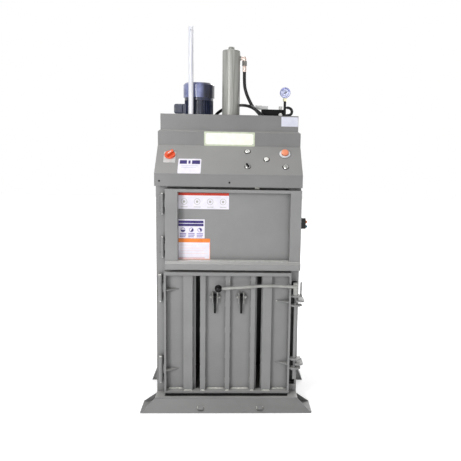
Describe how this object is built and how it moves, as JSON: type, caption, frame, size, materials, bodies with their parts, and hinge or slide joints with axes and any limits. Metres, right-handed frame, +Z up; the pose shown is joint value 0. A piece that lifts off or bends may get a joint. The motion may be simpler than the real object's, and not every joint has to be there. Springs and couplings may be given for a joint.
{
  "type": "recycling baler",
  "caption": "Vertical waste baler: welded press frame with feed door above a ribbed bale door, hydraulic ram on top, power pack and sloped control hood.",
  "frame": {"origin": "on the floor, in the middle of the footprint", "axes": "+X to the right seen from the front, +Y from the doors to the back, +Z up"},
  "size_m": [0.918, 0.63, 2.045],
  "materials": {
    "black_plastic": "glossy moulding",
    "black_rubber": "smooth hose cover",
    "black_steel": "black oxide",
    "bright_steel": "ground and zinc plated",
    "chrome_rod": "hard chrome",
    "cylinder_steel": "drawn tube, clear lacquer",
    "gauge_face": "printed dial",
    "glass": "clear",
    "grey_paint": "semi-gloss grey machine paint",
    "motor_paint": "dark navy gloss paint",
    "pale_paint": "off-white paint on the indicator tube",
    "red_plastic": "glossy moulding",
    "white_plastic": "glossy moulding"
  },
  "bodies": {
    "frame": {"back_channels": "grey_paint", "back_wall": "grey_paint", "base_frame": "grey_paint", "chamber_floor": "grey_paint", "control_bezels": "bright_steel", "cross_beams": "grey_paint", "cylinder_flange": "cylinder_steel", "cylinder_tube": "cylinder_steel", "fan_cowl": "motor_paint", "filler_cap": "black_plastic", "front_foot": "grey_paint", "gauge_case": "gauge_face", "gauge_glass": "glass", "gauge_hose": "black_rubber", "gauge_stem": "black_steel", "gear_pump": "grey_paint", "head_bushes": "bright_steel", "head_plate": "grey_paint", "hinge_pins": "bright_steel", "hood_cover": "grey_paint", "hose_fittings": "bright_steel", "hydraulic_hoses": "black_rubber", "interlock_switch": "black_plastic", "lock_keepers": "grey_paint", "motor_housing": "motor_paint", "oil_tank": "grey_paint", "post_knuckles": "grey_paint", "posts": "grey_paint", "rear_feet": "grey_paint", "side_walls": "grey_paint", "solenoid": "white_plastic", "switch_plate": "white_plastic", "tank_cover": "grey_paint", "terminal_box": "motor_paint", "valve_block": "black_steel", "valve_bracket": "grey_paint"},
    "press": {"platen": "grey_paint", "ram_rod": "chrome_rod", "indicator_rod": "pale_paint"},
    "feed_door_body": {"feed_door": "grey_paint", "feed_door_knuckles": "grey_paint"},
    "bale_door_body": {"bale_door_frame": "grey_paint", "bale_door_panel": "grey_paint", "bale_door_ribs": "grey_paint", "bale_door_knuckles": "grey_paint", "lock_lugs": "grey_paint", "clamp_cheeks": "grey_paint"},
    "lock": {"lock_shaft": "bright_steel", "lock_handle": "bright_steel", "handle_knob": "black_plastic"},
    "left_clamp": {"strap_lever_left": "black_steel"},
    "right_clamp": {"strap_lever_right": "black_steel"},
    "main_switch_body": {"main_switch": "red_plastic"},
    "start_button_body": {"start_button": "white_plastic"},
    "white_button_body": {"white_button": "white_plastic"},
    "selector_body": {"selector_knob": "black_plastic"},
    "key_switch_body": {"key_switch": "bright_steel"},
    "e_stop_body": {"e_stop": "red_plastic"},
    "needle": {"gauge_needle": "black_plastic"},
    "fan": {"motor_fan": "black_plastic"}
  },
  "joints": [
    {"name": "press_stroke", "type": "slide", "parent": "frame", "child": "press", "axis": [0, 0, 1], "range_m": [-0.56, 0]},
    {"name": "feed_door_swing", "type": "hinge", "parent": "frame", "child": "feed_door_body", "pos_m": [-0.35, -0.18, 0.975], "axis": [0, 0, 1], "range_deg": [-110, 0]},
    {"name": "bale_door_swing", "type": "hinge", "parent": "frame", "child": "bale_door_body", "pos_m": [-0.363, -0.18, 0.405], "axis": [0, 0, 1], "range_deg": [-110, 0]},
    {"name": "lock_turn", "type": "hinge", "parent": "bale_door_body", "child": "lock", "pos_m": [0.369, -0.195, 0.42], "axis": [0, 0, 1], "range_deg": [0, 135]},
    {"name": "left_clamp_swing", "type": "hinge", "parent": "bale_door_body", "child": "left_clamp", "pos_m": [-0.069, -0.177, 0.606], "axis": [1, 0, 0], "range_deg": [-70, 0]},
    {"name": "right_clamp_swing", "type": "hinge", "parent": "bale_door_body", "child": "right_clamp", "pos_m": [0.074, -0.177, 0.606], "axis": [1, 0, 0], "range_deg": [-70, 0]},
    {"name": "main_switch_turn", "type": "hinge", "parent": "frame", "child": "main_switch_body", "pos_m": [-0.316, -0.1138, 1.36084], "axis": [0, -0.6607, 0.7506], "range_deg": [-90, 0]},
    {"name": "selector_turn", "type": "hinge", "parent": "frame", "child": "selector_body", "pos_m": [0.098, -0.17085, 1.31062], "axis": [0, -0.6607, 0.7506], "range_deg": [-70, 0]},
    {"name": "key_turn", "type": "hinge", "parent": "frame", "child": "key_switch_body", "pos_m": [0.3, -0.1701, 1.31128], "axis": [0, -0.6607, 0.7506], "range_deg": [-90, 0]},
    {"name": "start_press", "type": "slide", "parent": "frame", "child": "start_button_body", "axis": [0, 0.6607, -0.7506], "range_m": [0, 0.004], "stiffness_N_per_m": 300, "springref_m": -0.002},
    {"name": "white_press", "type": "slide", "parent": "frame", "child": "white_button_body", "axis": [0, 0.6607, -0.7506], "range_m": [0, 0.004], "stiffness_N_per_m": 300, "springref_m": -0.002},
    {"name": "e_stop_press", "type": "slide", "parent": "frame", "child": "e_stop_body", "axis": [0, 0.6607, -0.7506], "range_m": [0, 0.004]},
    {"name": "needle_turn", "type": "hinge", "parent": "frame", "child": "needle", "pos_m": [0.301, -0.008, 1.711], "axis": [0, 1, 0], "range_deg": [0, 270], "stiffness_Nm_per_rad": 0.0005, "springref_deg": -11.46},
    {"name": "fan_turn", "type": "hinge", "parent": "frame", "child": "fan", "pos_m": [-0.175, 0.095, 1.715], "axis": [0, 0, 1], "continuous": true}
  ]
}
